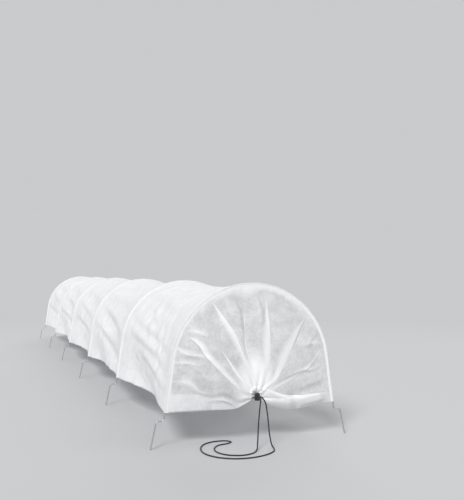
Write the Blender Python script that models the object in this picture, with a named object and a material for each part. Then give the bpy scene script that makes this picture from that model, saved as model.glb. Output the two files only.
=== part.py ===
"""Row cover tunnel: six wire hoops in sewn sleeves, a fleece cover in five bays, and two gathered ends.

All lengths are in metres. +Y runs along the tunnel from its front end to its rear end, +X is to the
right seen from the front, and +Z is up. The origin is at the middle of the tunnel, on the plane that
the hoops' spikes stand on. The bays close like an accordion towards the front hoop.
"""

import math

import bmesh
import bpy
from mathutils import Matrix, Vector

# The row of hoops
hoop_names = ("front", "second", "third", "fourth", "fifth", "rear")
hoop_pitch = 0.600
seat_gap = 0.0003

# A wire hoop: an arch, two splayed legs, a step outwards at the ground and a spike under it
wire_diameter = 0.0035
arch_radius = 0.208
arch_centre_above_step = 0.1145
leg_splay = math.radians(7.5)
step_out = 0.0175
step_bend_radius = 0.006
spike_depth = 0.065
spike_splay = math.radians(12.0)
arch_steps = 20
bend_steps = 3
wire_sides = 6

# The fleece cover and its sleeves
cloth_thickness = 0.0010
hem_thickness = 0.0018
hem_above_step = 0.0195
hem_band = 0.038
sleeve_diameter = 0.009
sleeve_clearance = 0.0003
crown_sag = 0.013
side_sag = 0.022
hem_rise = 0.007
fold_depth = 0.009
bay_steps = 6
fold_turns = 2.5
fold_phase_shares = (0.10, 0.62, 0.35, 0.85, 0.48)
fold_slant_shares = (0.9, 1.2, 0.8, 1.1, 0.7)

# A gathered end: pleats run from the hoop to a bunched casing that holds the drawstring
gather_above_step = 0.056
gather_forward = 0.018
collar_radius = 0.013
collar_diameter = 0.016
collar_gap_angle = math.radians(90.0)
collar_steps = 18
ruffle_depth = 0.0015
ruffle_count = 9
casing_sides = 8
casing_clearance = 0.0006
left_edge_drop_angle = math.radians(70.0)
right_edge_drop_angle = math.radians(50.0)
left_hem_droop = 0.005
right_hem_droop = 0.018
end_rings = 8
end_billow = 0.010
pleat_depth = 0.0105
pleat_depth_at_collar = 0.0022
pleat_drop_width = 0.006
pleat_drop_at_collar = 0.0026
slope_steps = 4
band_top_shift_share = 0.115

# Each pleat's ridge, as shares of the cover's width at the hoop, half way in and at the casing, and
# the side that it drops to: 1 is the right, -1 the left
pleat_shares = (
    (0.236, 0.205, 0.140, -1),
    (0.300, 0.302, 0.350, 1),
    (0.354, 0.392, 0.470, 1),
    (0.530, 0.608, 0.600, 1),
    (0.700, 0.760, 0.690, 1),
    (0.845, 0.862, 0.765, 1),
)

# The drawstring
cord_diameter = 0.0032
cord_clearance = 0.0003
strand_gap = 0.0005
neighbour_turns = 4
cord_point_spacing = 0.012
casing_point_spacing = 0.0045
strand_run = 0.014

# The cord lock: a barrel, a sprung plunger and a slot across both
barrel_diameter = 0.013
barrel_wall = 0.0016
barrel_top_wall = 0.0016
barrel_floor = 0.0012
barrel_corner = 0.0014
barrel_corner_rise_share = 0.25
rim_height = 0.0018
rim_step = 0.0005
plunger_travel = 0.002
plunger_wall = 0.001
plunger_standing = 0.0012
plunger_dome = 0.0014
lock_clearance = 0.0003
spring_end_clearance = 0.0003
slot_overrun = 0.0065
lock_below_gather = 0.006
lock_sides = 16
spring_wire = 0.00045
spring_diameter = 0.006
spring_height = 0.003
spring_turns = 2.5
spring_points = 10

# Worked out from the sizes above
wire_radius = wire_diameter / 2
sleeve_radius = sleeve_diameter / 2
cord_radius = cord_diameter / 2
collar_tube_radius = collar_diameter / 2
first_hoop_y = -hoop_pitch * (len(hoop_names) - 1) / 2
arch_centre_z = spike_depth + arch_centre_above_step
foot_x = arch_radius * math.cos(leg_splay) + math.tan(leg_splay) * (
    arch_centre_above_step + arch_radius * math.sin(leg_splay)
)
hem_z = spike_depth + hem_above_step
crown_z = arch_centre_z + arch_radius
gather_z = spike_depth + gather_above_step
gather_y = first_hoop_y - gather_forward
strand_rise = (cord_diameter + strand_gap) / 2
lock_z = gather_z - lock_below_gather
lock_y = gather_y - collar_tube_radius - seat_gap - barrel_diameter / 2
strand_end_y = lock_y - barrel_diameter / 2 - strand_run


def clear_scene():
    """Start from an empty scene."""
    for thing in list(bpy.data.objects):
        bpy.data.objects.remove(thing, do_unlink=True)


def material(name, colour, roughness, metallic=0.0):
    """A plain Principled material."""
    made = bpy.data.materials.get(name) or bpy.data.materials.new(name)
    made.use_nodes = True
    shader = made.node_tree.nodes["Principled BSDF"]
    shader.inputs["Base Color"].default_value = (*colour, 1.0)
    shader.inputs["Roughness"].default_value = roughness
    shader.inputs["Metallic"].default_value = metallic
    return made


def galvanised(name):
    return material(name + "_wire", (0.55, 0.56, 0.57), 0.38, 1.0)


def fleece(name):
    return material(name + "_fleece", (0.90, 0.91, 0.92), 0.85)


def black_plastic(name):
    return material(name + "_plastic", (0.02, 0.02, 0.022), 0.35)


def black_cord(name):
    return material(name + "_braid", (0.018, 0.018, 0.02), 0.8)


def spring_steel(name):
    return material(name + "_steel", (0.60, 0.60, 0.60), 0.3, 1.0)


def add_mesh(name, bm, made, smooth=True):
    """Turn a bmesh into a named object with its own material."""
    bmesh.ops.recalc_face_normals(bm, faces=bm.faces)
    mesh = bpy.data.meshes.new(name)
    bm.to_mesh(mesh)
    bm.free()
    mesh.materials.append(made)
    if smooth:
        mesh.shade_smooth()
        mesh.set_sharp_from_angle(angle=math.radians(50.0))
    made_object = bpy.data.objects.new(name, mesh)
    bpy.context.collection.objects.link(made_object)
    return made_object


def rounded_corner(before, corner, after, radius, steps):
    """Points of a round bend of that radius in the corner between two straight runs."""
    into = (corner - before).normalized()
    out = (after - corner).normalized()
    turn = into.angle(out)
    reach = radius * math.tan(turn / 2)
    start = corner - into * reach
    side = (out - into * into.dot(out)).normalized()
    centre = start + side * radius
    points = []
    for step in range(steps + 1):
        angle = turn * step / steps
        points.append(centre - side * radius * math.cos(angle) + into * radius * math.sin(angle))
    return points


def arch_points():
    """The round part of a hoop, from its left end over the crown to its right end, as (x, z)."""
    points = []
    for step in range(arch_steps + 1):
        angle = math.pi - leg_splay - (math.pi - 2 * leg_splay) * step / arch_steps
        points.append(
            Vector((arch_radius * math.cos(angle), arch_centre_z + arch_radius * math.sin(angle)))
        )
    return points


def leg_point(height):
    """The right leg's centre at a height above the ground, as (x, z)."""
    return Vector((foot_x - (height - spike_depth) * math.tan(leg_splay), height))


def mirrored(points):
    """The same points on the left, in the order that runs the other way."""
    return [Vector((-point.x, point.y)) for point in reversed(points)]


def hoop_line():
    """Centre line of a whole hoop in its own plane, from the left tip to the right tip."""
    arch = arch_points()
    inner = Vector((foot_x, spike_depth))
    outer = Vector((foot_x + step_out, spike_depth))
    tip = Vector((outer.x + spike_depth * math.tan(spike_splay), 0.0))
    right = rounded_corner(arch[-1], inner, outer, step_bend_radius, bend_steps)
    right += rounded_corner(inner, outer, tip, step_bend_radius, bend_steps)
    right.append(tip)
    return mirrored(right) + arch + right


def cover_line():
    """The cover's line in a hoop's plane, from the left hem over the arch to the right hem."""
    arch = arch_points()
    band_z = hem_z + hem_band
    middle_z = (band_z + arch[-1].y) / 2
    right = [leg_point(middle_z), leg_point(band_z), leg_point(hem_z)]
    return mirrored(right) + arch + right


def line_sides(line):
    """Unit directions square to a line at each of its points, on its inner side."""
    sides = []
    for place in range(len(line)):
        run = line[min(place + 1, len(line) - 1)] - line[max(place - 1, 0)]
        run.normalize()
        sides.append(Vector((run.y, -run.x)))
    return sides


def ring(bm, centre, side, out, radii, level=False):
    """A ring of corners round a point; level lays it flat in the ground plane."""
    corners = []
    for place, radius in enumerate(radii):
        angle = 2 * math.pi * place / len(radii)
        across = side * radius * math.cos(angle)
        if level:
            across = Vector((across.x, across.y, 0.0))
        corners.append(bm.verts.new(centre + across + out * radius * math.sin(angle)))
    return corners


def bridge(bm, one, other):
    """Faces between two rings with the same number of corners."""
    count = len(one)
    for place in range(count):
        following = (place + 1) % count
        bm.faces.new((one[place], one[following], other[following], other[place]))


def swept_tube(line, y, radii_at, bore_radius=0.0, level_ends=False, sides=6):
    """A tube along a line in an XZ plane; with a bore it is open at both ends."""
    bm = bmesh.new()
    out = Vector((0.0, 1.0, 0.0))
    outer, inner = [], []
    for place, (point, side) in enumerate(zip(line, line_sides(line))):
        centre = Vector((point.x, y, point.y))
        across = Vector((side.x, 0.0, side.y))
        flat = level_ends and place in (0, len(line) - 1)
        outer.append(ring(bm, centre, across, out, [radii_at(place)] * sides, flat))
        if bore_radius:
            inner.append(ring(bm, centre, across, out, [bore_radius] * sides))
    for one, other in zip(outer, outer[1:]):
        bridge(bm, one, other)
    for one, other in zip(inner, inner[1:]):
        bridge(bm, one, other)
    for end in (0, -1):
        if bore_radius:
            bridge(bm, outer[end], inner[end])
        else:
            bm.faces.new(outer[end])
    return bm


def make_hoop(name, y):
    """The wire: its tips are cut level, so the hoop stands on two small flat faces."""
    bm = swept_tube(hoop_line(), y, lambda place: wire_radius, level_ends=True, sides=wire_sides)
    return add_mesh(name + "_hoop", bm, galvanised(name))


def make_sleeve(name, y):
    """The sewn channel that the wire runs in, from hem to hem."""
    line = [leg_point(hem_z)]
    line = mirrored(line) + arch_points() + line
    bore = wire_radius + sleeve_clearance
    bm = swept_tube(line, y, lambda place: sleeve_radius, bore, sides=wire_sides)
    return add_mesh(name + "_sleeve", bm, fleece(name + "_sleeve"))


def solid_cloth(name, rows, hem_rows):
    """A sheet from rows of points, thickened on both sides; its hem columns are a double layer."""
    bm = bmesh.new()
    grid = [[bm.verts.new(point) for point in row] for row in rows]
    for row, following in zip(grid, grid[1:]):
        for place in range(len(row) - 1):
            bm.faces.new((row[place], row[place + 1], following[place + 1], following[place]))
    sheet = add_mesh(name, bm, fleece(name))
    hem = sheet.vertex_groups.new(name="hem")
    width = len(rows[0])
    for number in range(len(rows) * width):
        if number % width in hem_rows:
            hem.add([number], 1.0, "REPLACE")
    solid = sheet.modifiers.new("thickness", "SOLIDIFY")
    solid.thickness = hem_thickness
    solid.offset = 0.0
    solid.use_even_offset = True
    solid.vertex_group = hem.name
    solid.thickness_vertex_group = cloth_thickness / hem_thickness
    return sheet


def make_bay(name, number):
    """The cover between two sleeves: it sags between the hoops, with slanting folds on its sides."""
    line = cover_line()
    sides = line_sides(line)
    edge = sleeve_radius + seat_gap
    start = first_hoop_y + hoop_pitch * number + edge
    length = hoop_pitch - 2 * edge
    rows = []
    for step in range(bay_steps + 1):
        along = step / bay_steps
        belly = 4 * along * (1 - along)
        row = []
        for place, (point, side) in enumerate(zip(line, sides)):
            height = (point.y - hem_z) / (crown_z - hem_z)
            around = place / (len(line) - 1)
            sag = belly * (side_sag + (crown_sag - side_sag) * height)
            turns = fold_turns * abs(2 * around - 1) + fold_slant_shares[number] * along
            wave = math.cos(2 * math.pi * (turns + fold_phase_shares[number]))
            fold = belly * fold_depth * (1 - height) * wave
            rise = belly * hem_rise * (1 - height) ** 4
            moved = point + side * (sag + fold)
            row.append(Vector((moved.x, start + length * along, moved.y + rise)))
        rows.append(row)
    last = len(line) - 1
    return solid_cloth(name, rows, (0, 1, last - 1, last))


def line_reaches(line):
    """The distance of each point of a line from its start."""
    reaches = [0.0]
    for one, other in zip(line, line[1:]):
        reaches.append(reaches[-1] + (other - one).length)
    return reaches


def point_on(line, share):
    """The point at a share of the length of a line of points."""
    reaches = line_reaches(line)
    reach = share * reaches[-1]
    place = 0
    while place < len(line) - 2 and reaches[place + 1] < reach:
        place += 1
    part = (reach - reaches[place]) / (reaches[place + 1] - reaches[place])
    return line[place].lerp(line[place + 1], part)


def ridge_share(at_hoop, half_way, at_casing, inward):
    """A pleat's ridge at a share of the way in, on the parabola through its three places."""
    bow = half_way - (at_hoop + at_casing) / 2
    return at_hoop + (at_casing - at_hoop) * inward + 4 * bow * inward * (1 - inward)


def pleat_knots(inward, width, hem_share):
    """Where the cloth turns at a share of the way in: (share round, level, steps from the knot before)."""
    drop = (pleat_drop_width + (pleat_drop_at_collar - pleat_drop_width) * inward) / width
    knots = [(0.0, 0.0, 0), (hem_share, 0.0, 1)]
    for at_hoop, half_way, at_casing, side in pleat_shares:
        ridge = ridge_share(at_hoop, half_way, at_casing, inward)
        if side > 0:
            knots += [(ridge, 1.0, slope_steps), (ridge + drop, -1.0, 1)]
        else:
            knots += [(ridge - drop, -1.0, slope_steps), (ridge, 1.0, 1)]
    band_top = 1 - hem_share - band_top_shift_share * inward
    knots += [(band_top - drop, -1.0, slope_steps), (band_top, 1.0, 1), (1.0, 0.0, 2)]
    return knots


def end_rows():
    """Rows of points from the hoop in to the collar, about the hoop's own plane, forward is -Y."""
    line = cover_line()
    rim_length = line_reaches(line)[-1]
    collar_edge = collar_radius + collar_tube_radius + seat_gap
    rim_y = sleeve_radius + seat_gap + cloth_thickness / 2
    centre = Vector((0.0, gather_z))
    left_angle = math.pi + left_edge_drop_angle
    sweep = math.pi + left_edge_drop_angle + right_edge_drop_angle
    rows = []
    for step in range(end_rings + 1):
        inward = step / end_rings
        width = rim_length + (collar_edge * sweep - rim_length) * inward
        depth = pleat_depth * inward * (1 - inward) + pleat_depth_at_collar * inward
        knots = pleat_knots(inward, width, hem_band / rim_length)
        places = [knots[0][:2]]
        for (start, low_level, _), (end, high_level, steps) in zip(knots, knots[1:]):
            for part in range(1, steps + 1):
                share = part / steps
                places.append((start + (end - start) * share, low_level + (high_level - low_level) * share))
        row = []
        for around, level in places:
            angle = left_angle - sweep * around
            collar = centre + Vector((math.cos(angle), math.sin(angle))) * collar_edge
            point = point_on(line, around).lerp(collar, inward)
            low = abs(2 * around - 1) ** 6
            droop = left_hem_droop if around < 0.5 else right_hem_droop
            droop *= math.sin(math.pi * inward) * low
            forward = rim_y + (gather_forward - rim_y) * inward
            forward += end_billow * math.sin(math.pi * inward) * (1 - low) + depth * level
            row.append(Vector((point.x, -forward, point.y - droop)))
        rows.append(row)
    return rows


def place_end(thing, front):
    """Move an end piece from the hoop's own plane to the front or, turned round, to the rear."""
    if front:
        thing.data.transform(Matrix.Translation((0.0, first_hoop_y, 0.0)))
    else:
        turned = Matrix.Translation((0.0, -first_hoop_y, 0.0)) @ Matrix.Rotation(math.pi, 4, "Z")
        thing.data.transform(turned)
    return thing


def make_end_cover(name, front):
    """The cloth past the end hoop, drawn in to the gather in pleats."""
    rows = end_rows()
    last = len(rows[0]) - 1
    return place_end(solid_cloth(name, rows, (0, 1, last - 1, last)), front)


def make_collar(name, front):
    """The bunched casing at the gather, open below where the drawstring comes out."""
    sweep = 2 * math.pi - collar_gap_angle
    first = 1.5 * math.pi - collar_gap_angle / 2
    line = []
    for step in range(collar_steps + 1):
        angle = first - sweep * step / collar_steps
        around = Vector((math.cos(angle), math.sin(angle))) * collar_radius
        line.append(Vector((0.0, gather_z)) + around)

    def radius_at(place):
        turns = ruffle_count * place / collar_steps
        return collar_tube_radius - ruffle_depth * (1 - math.cos(2 * math.pi * turns)) / 2

    bore = cord_radius + casing_clearance
    bm = swept_tube(line, -gather_forward, radius_at, bore, sides=casing_sides)
    return place_end(add_mesh(name, bm, fleece(name)), front)


def smooth_route(points, spacing):
    """Even points on a smooth curve through the route's own points."""
    ends = [points[0] * 2 - points[1], *points, points[-1] * 2 - points[-2]]
    fine = []
    for place in range(1, len(ends) - 2):
        before, start, end, after = ends[place - 1 : place + 3]
        for step in range(24):
            t = step / 24
            fine.append(
                (
                    start * 2
                    + (end - before) * t
                    + (before * 2 - start * 5 + end * 4 - after) * t**2
                    + (start * 3 - before - end * 3 + after) * t**3
                )
                / 2
            )
    fine.append(points[-1].copy())
    lengths = [0.0]
    for one, other in zip(fine, fine[1:]):
        lengths.append(lengths[-1] + (other - one).length)
    count = max(2, round(lengths[-1] / spacing))
    even = []
    place = 0
    for step in range(count + 1):
        reach = lengths[-1] * step / count
        while place < len(fine) - 2 and lengths[place + 1] < reach:
            place += 1
        share = (reach - lengths[place]) / (lengths[place + 1] - lengths[place])
        even.append(fine[place].lerp(fine[place + 1], min(1.0, share)))
    return even


def add_cord(name, points, diameter, made, resolution=2):
    """A round cord along points, as a bevelled curve with closed ends."""
    curve = bpy.data.curves.new(name, "CURVE")
    curve.dimensions = "3D"
    curve.bevel_depth = diameter / 2
    curve.bevel_resolution = resolution
    curve.use_fill_caps = True
    curve.render_resolution_u = 0
    spline = curve.splines.new("POLY")
    spline.points.add(len(points) - 1)
    for spot, point in zip(spline.points, points):
        spot.co = (*point, 1.0)
    curve.materials.append(made)
    cord = bpy.data.objects.new(name, curve)
    bpy.context.collection.objects.link(cord)
    return cord


def least_gap(points, diameter, apart):
    """The least surface gap between stretches of a cord that lie at least apart along it."""
    lengths = [0.0]
    for one, other in zip(points, points[1:]):
        lengths.append(lengths[-1] + (other - one).length)
    gaps = [
        (points[a] - points[b]).length - diameter
        for a in range(len(points))
        for b in range(a + 1, len(points))
        if lengths[b] - lengths[a] > apart
    ]
    return min(gaps)


def cord_length(points):
    """The length along a line of points."""
    return sum((other - one).length for one, other in zip(points, points[1:]))


# Behind the lock each strand turns from the casing's mouth to the slot. The points are measured from
# the gather's centre, and the last of each lies in the slot's own line.
left_mouth_route = ((-0.0072, -0.0012, -0.0107), (-0.0040, -0.0038, -0.0114), (-0.0014, -0.0064, -0.0100))
right_mouth_route = ((0.0072, -0.0010, -0.0104), (0.0048, -0.0032, -0.0090), (0.0018, -0.0062, -0.0056))

# The tail from the upper strand down to the ground, round in one wide bend and back to the lower
# strand inside it. x is from the middle of the tunnel, y from the front hoop and z from the ground.
tail_route = (
    (0.0030, -0.0600, 0.1150),
    (0.0080, -0.0670, 0.1020),
    (0.0115, -0.0710, 0.0720),
    (0.0140, -0.0740, 0.0360),
    (0.0170, -0.0800, 0.0100),
    (0.0170, -0.0960, 0.0017),
    (0.0050, -0.1180, 0.0017),
    (-0.0210, -0.1380, 0.0017),
    (-0.0570, -0.1500, 0.0017),
    (-0.0960, -0.1470, 0.0017),
    (-0.1300, -0.1240, 0.0017),
    (-0.1480, -0.0860, 0.0017),
    (-0.1460, -0.0420, 0.0017),
    (-0.1280, -0.0020, 0.0017),
    (-0.0980, 0.0200, 0.0017),
    (-0.0660, 0.0210, 0.0017),
    (-0.0540, 0.0060, 0.0017),
    (-0.0680, -0.0080, 0.0017),
    (-0.0950, -0.0180, 0.0017),
    (-0.1140, -0.0460, 0.0017),
    (-0.1180, -0.0800, 0.0017),
    (-0.1030, -0.1100, 0.0017),
    (-0.0740, -0.1240, 0.0017),
    (-0.0460, -0.1160, 0.0017),
    (-0.0270, -0.0960, 0.0030),
    (-0.0180, -0.0800, 0.0180),
    (-0.0130, -0.0720, 0.0520),
    (-0.0080, -0.0670, 0.0860),
    (-0.0030, -0.0610, 0.1070),
)


def make_drawstring(name):
    """The held stretch: through the lock, round in the casing and back through the lock."""
    centre = Vector((0.0, gather_y, gather_z))
    upper_end = Vector((0.0, strand_end_y, lock_z + strand_rise))
    lower_end = Vector((0.0, strand_end_y, lock_z - strand_rise))
    behind = Vector((0.0, lock_y + barrel_diameter / 2 + cord_clearance - strand_end_y, 0.0))
    sweep = 2 * math.pi - collar_gap_angle
    first = 1.5 * math.pi - collar_gap_angle / 2
    round_casing = []
    for step in range(collar_steps + 1):
        angle = first - sweep * step / collar_steps
        round_casing.append(centre + Vector((math.cos(angle), 0.0, math.sin(angle))) * collar_radius)
    left = [centre + Vector(point) for point in reversed(left_mouth_route)]
    right = [centre + Vector(point) for point in right_mouth_route]
    bend = [lower_end + behind, *left, *round_casing, *right, upper_end + behind]
    points = [lower_end, *smooth_route(bend, casing_point_spacing), upper_end]
    made = add_cord(name, points, cord_diameter, black_cord(name))
    return made, points


def make_tail(name):
    """The free stretch from strand to strand."""
    away = Vector((0.0, -seat_gap, 0.0))
    upper = Vector((0.0, strand_end_y, lock_z + strand_rise)) + away
    lower = Vector((0.0, strand_end_y, lock_z - strand_rise)) + away
    lead = Vector((0.0, -cord_diameter, 0.0))
    start = Vector((0.0, first_hoop_y, 0.0))
    route = [upper + lead, *(start + Vector(point) for point in tail_route), lower + lead]
    points = [upper, *smooth_route(route, cord_point_spacing), lower]
    made = add_cord(name, points, cord_diameter, black_cord(name))
    return made, points


def turned(profile, sides):
    """A body of revolution about +Z, from an outline of (radius, z) points with both ends on the axis."""
    bm = bmesh.new()
    rings = []
    for radius, z in profile:
        if radius == 0.0:
            rings.append([bm.verts.new((0.0, 0.0, z))])
        else:
            angles = (2 * math.pi * (side + 0.5) / sides for side in range(sides))
            rings.append([bm.verts.new((radius * math.cos(a), radius * math.sin(a), z)) for a in angles])
    for one, other in zip(rings, rings[1:]):
        for side in range(sides):
            following = (side + 1) % sides
            corners = [one[side % len(one)], one[following % len(one)]]
            corners += [other[following % len(other)], other[side % len(other)]]
            unlike = list(dict.fromkeys(corners))
            if len(unlike) > 2:
                bm.faces.new(unlike)
    return bm


def cut_slot(thing, name, low, high):
    """Cut a slot for the two strands through a lock piece, from front to back."""
    width = cord_diameter + 2 * cord_clearance
    length = barrel_diameter + 2 * slot_overrun
    bm = bmesh.new()
    bmesh.ops.create_cube(bm, size=1.0)
    bmesh.ops.scale(bm, vec=(width, length, high - low), verts=bm.verts)
    bmesh.ops.translate(bm, vec=(0.0, lock_y, lock_z + (low + high) / 2), verts=bm.verts)
    cutter = add_mesh(name, bm, black_plastic("cutter"), smooth=False)
    cutter.hide_render = True
    cutter.display_type = "WIRE"
    cut = thing.modifiers.new("slot", "BOOLEAN")
    cut.operation = "DIFFERENCE"
    cut.object = cutter
    cut.solver = "EXACT"


def make_lock():
    """The barrel, its plunger and the spring between them, with heights from the slot's centre."""
    strands = strand_rise + cord_radius + cord_clearance
    plunger_slot_top = strands + plunger_travel
    plunger_bottom = -strands - plunger_wall
    barrel_top = strands + barrel_top_wall
    plunger_top = barrel_top + plunger_travel + plunger_standing
    floor_top = plunger_bottom - spring_height - 2 * spring_end_clearance
    barrel_bottom = floor_top - barrel_floor
    radius = barrel_diameter / 2
    bore = radius - barrel_wall
    stem = bore - lock_clearance
    place = Matrix.Translation((0.0, lock_y, lock_z))
    half_turn_share = math.sin(math.pi / 4)

    barrel_outline = (
        (0.0, barrel_bottom),
        (radius - barrel_corner, barrel_bottom),
        (
            radius - barrel_corner * (1 - half_turn_share),
            barrel_bottom + barrel_corner * barrel_corner_rise_share,
        ),
        (radius, barrel_bottom + barrel_corner),
        (radius, barrel_top - rim_height),
        (radius - rim_step, barrel_top - rim_height + rim_step),
        (radius - rim_step, barrel_top),
        (bore, barrel_top),
        (bore, floor_top),
        (0.0, floor_top),
    )
    barrel = add_mesh("cord_lock_barrel", turned(barrel_outline, lock_sides), black_plastic("barrel"))
    barrel.data.transform(place)
    cut_slot(barrel, "barrel_slot_cutter", -strands, strands)

    plunger_outline = (
        (0.0, plunger_bottom),
        (stem, plunger_bottom),
        (stem, plunger_top - plunger_dome),
        (stem - plunger_dome * (1 - half_turn_share), plunger_top - plunger_dome * half_turn_share),
        (stem - plunger_dome, plunger_top),
        (0.0, plunger_top),
    )
    plunger = add_mesh("cord_lock_plunger", turned(plunger_outline, lock_sides), black_plastic("plunger"))
    plunger.data.transform(place)
    cut_slot(plunger, "plunger_slot_cutter", -strands, plunger_slot_top)

    turn_radius = (spring_diameter - spring_wire) / 2
    low = floor_top + spring_end_clearance + spring_wire / 2
    climb = spring_height - spring_wire
    count = round(spring_turns * spring_points)
    points = []
    for step in range(count + 1):
        angle = 2 * math.pi * step / spring_points
        across = Vector((math.cos(angle), math.sin(angle), 0.0)) * turn_radius
        points.append(Vector((0.0, lock_y, lock_z + low + climb * step / count)) + across)
    add_cord("cord_lock_spring", points, spring_wire, spring_steel("spring"), resolution=1)
    return points


def set_origin(thing, place):
    """Put an object's origin at a place without moving its shape."""
    place = Vector(place)
    thing.data.transform(Matrix.Translation(-place))
    thing.location = place


def main():
    clear_scene()
    for number, name in enumerate(hoop_names):
        y = first_hoop_y + hoop_pitch * number
        for piece in (make_hoop(name, y), make_sleeve(name, y)):
            set_origin(piece, (0.0, y, 0.0))
    for number in range(len(hoop_names) - 1):
        bay = make_bay(f"cover_bay_{number + 1}", number)
        set_origin(bay, (0.0, first_hoop_y + hoop_pitch * number, 0.0))
    make_end_cover("front_end_cover", True)
    make_end_cover("rear_end_cover", False)
    make_collar("front_collar", True)
    make_collar("rear_collar", False)
    held, held_points = make_drawstring("drawstring")
    tail, tail_points = make_tail("drawstring_tail")
    spring = make_lock()
    for word, points, diameter in (
        ("drawstring", held_points, cord_diameter),
        ("drawstring tail", tail_points, cord_diameter),
        ("lock spring", spring, spring_wire),
    ):
        gap = least_gap(points, diameter, diameter * neighbour_turns)
        length = cord_length(points)
        print(f"{word}: {length:.4f} m long, {len(points)} points, least gap {gap * 1000:.2f} mm")


main()
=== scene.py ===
"""The row cover tunnel as it looks: see-through white fleece over six wire hoops, on a plain pale floor.

Lengths are in metres, in the CAD model's own frame: +Y runs from the drawn front end to the rear end,
+X is to the right seen from the front, and the spikes' tips stand on the floor at z = 0.
"""

import math

import bpy
import numpy as np
from mathutils import Matrix, Vector


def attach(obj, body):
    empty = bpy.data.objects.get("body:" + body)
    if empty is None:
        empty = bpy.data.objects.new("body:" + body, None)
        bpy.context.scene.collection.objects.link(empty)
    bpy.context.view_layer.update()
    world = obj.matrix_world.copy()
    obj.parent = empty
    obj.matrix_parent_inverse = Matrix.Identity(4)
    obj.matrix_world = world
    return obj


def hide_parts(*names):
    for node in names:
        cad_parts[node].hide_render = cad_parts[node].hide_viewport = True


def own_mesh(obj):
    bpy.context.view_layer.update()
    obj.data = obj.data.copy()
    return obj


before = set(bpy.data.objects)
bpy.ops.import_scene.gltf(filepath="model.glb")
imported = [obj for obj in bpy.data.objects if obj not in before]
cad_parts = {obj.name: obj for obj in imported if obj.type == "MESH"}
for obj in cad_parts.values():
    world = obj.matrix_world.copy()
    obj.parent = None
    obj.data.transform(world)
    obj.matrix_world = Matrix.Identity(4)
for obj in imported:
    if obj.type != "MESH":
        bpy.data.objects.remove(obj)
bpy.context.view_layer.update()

# The hoops
hoop_names = ("front", "second", "third", "fourth", "fifth", "rear")
hoop_pitch = 0.600
first_hoop_y = -1.500
wire_radius = 0.00175
wire_sides = 16
arch_radius = 0.208
arch_centre_z = 0.1795
arch_steps = 60
leg_splay = math.radians(7.5)
foot_x = 0.22487
step_z = 0.065
step_out = 0.0175
step_bend_radius = 0.006
step_bend_steps = 8
spike_splay = math.radians(12.0)

# The cover
hem_z = 0.0845
crown_z = 0.3875
arch_samples = 400
leg_samples = 80
hem_band = 0.038
hem_gap = 0.0009
edge_gap = 0.0056
seam_inset = 0.0080
channel_radius = 0.00235
crown_sag = 0.013
side_sag = 0.022
hem_rise = 0.007
fold_depth = 0.009
hem_layers = 0.15
channel_layers = 0.35
seam_layers = 0.5
casing_layers = 0.8
fold_turns = 2.5
fold_phases = (0.10, 0.62, 0.35, 0.85, 0.48)
fold_slants = (0.9, 1.2, 0.8, 1.1, 0.7)

# The stitches
stitch_radius = 0.00022
stitch_length = 0.0026
stitch_bend = 0.0007
stitch_dip = 0.00025
stitch_lift = 0.0002
stitch_pitch = 0.0036
sleeve_rows = 170

# A drawn end, its bunched casing and the drawstring
gather = Vector((0.0, -1.518, 0.121))
gather_forward = 0.018
collar_radius = 0.013
collar_tube = 0.008
cord_diameter = 0.0032
cord_sides = 24
cord_spacing = 0.0006
strand_rise = 0.00185
strand_end_y = -1.5533
strands_round = 8
strands_per_diameter = 2.1

# The cord lock, its heights from the middle of its slot
lock_y = -1.5328
lock_z = 0.115
lock_radius = 0.0065
lock_wall = 0.0016
lock_play = 0.0003
lock_floor = 0.0012
lock_sides = 64
slot_rounding = 0.0009
barrel_rounding = 0.0003
button_radius = 0.0046
button_travel = 0.002
button_proud = 0.0012
button_foot = 0.001
button_rounding = 0.0006
dish_rim = 0.0012
dish_slope = 0.0006
dish_depth = 0.0003
groove_heights = (-0.0068, -0.0056, 0.0046)
groove_radius = 0.0066
groove_size = 0.0003
spring_radius = 0.003
spring_wire = 0.00045
spring_turns = 2.5
spring_height = 0.003
slot_rise = strand_rise + cord_diameter / 2 + lock_play
plunger_bottom = -slot_rise - button_foot
barrel_top = slot_rise + lock_wall
plunger_top = barrel_top + button_travel + button_proud
floor_top = plunger_bottom - spring_height - 2 * lock_play
barrel_bottom = floor_top - lock_floor

# The view and the light
lens_width = 36.0
lens_length = 51.06
eye_place = (-0.6457, -3.1373, 0.4146)
eye_turn = (math.pi / 2 + 0.0319, 0.0, -0.3472)
backdrop = (0.585, 0.595, 0.605)
floor_colour = (0.565, 0.575, 0.585)
floor_size = 60.0
floor_fade = (1.6, 4.2)
sky_strength = 0.45

# The finishes
white = (0.955, 0.958, 0.965)
fleece_glow = 0.12
bond_scale = 620.0
fibre_scale = 1500.0


def new_material(name):
    """A material with an empty node tree."""
    made = bpy.data.materials.new(name)
    made.use_nodes = True
    made.node_tree.nodes.clear()
    return made, made.node_tree


def feed(tree, socket, value):
    """Link a socket to another, or set it; a colour is given as three numbers."""
    if isinstance(value, bpy.types.NodeSocket):
        tree.links.new(value, socket)
    elif socket.type == "RGBA":
        socket.default_value = (*value, 1.0)
    else:
        socket.default_value = value


def put(tree, kind, *values, **settings):
    """A new node's outputs: names set its properties or sockets, and values go to its sockets in turn."""
    node = tree.nodes.new(f"ShaderNode{kind}")
    for key, value in settings.items():
        if hasattr(node, key):
            setattr(node, key, value)
        else:
            feed(tree, node.inputs[key.replace("_", " ")], value)
    for socket, value in zip(node.inputs, values):
        feed(tree, socket, value)
    return node.outputs


def maths(tree, operation, *values):
    """A maths node on sockets or numbers."""
    return put(tree, "Math", *values, operation=operation)[0]


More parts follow.
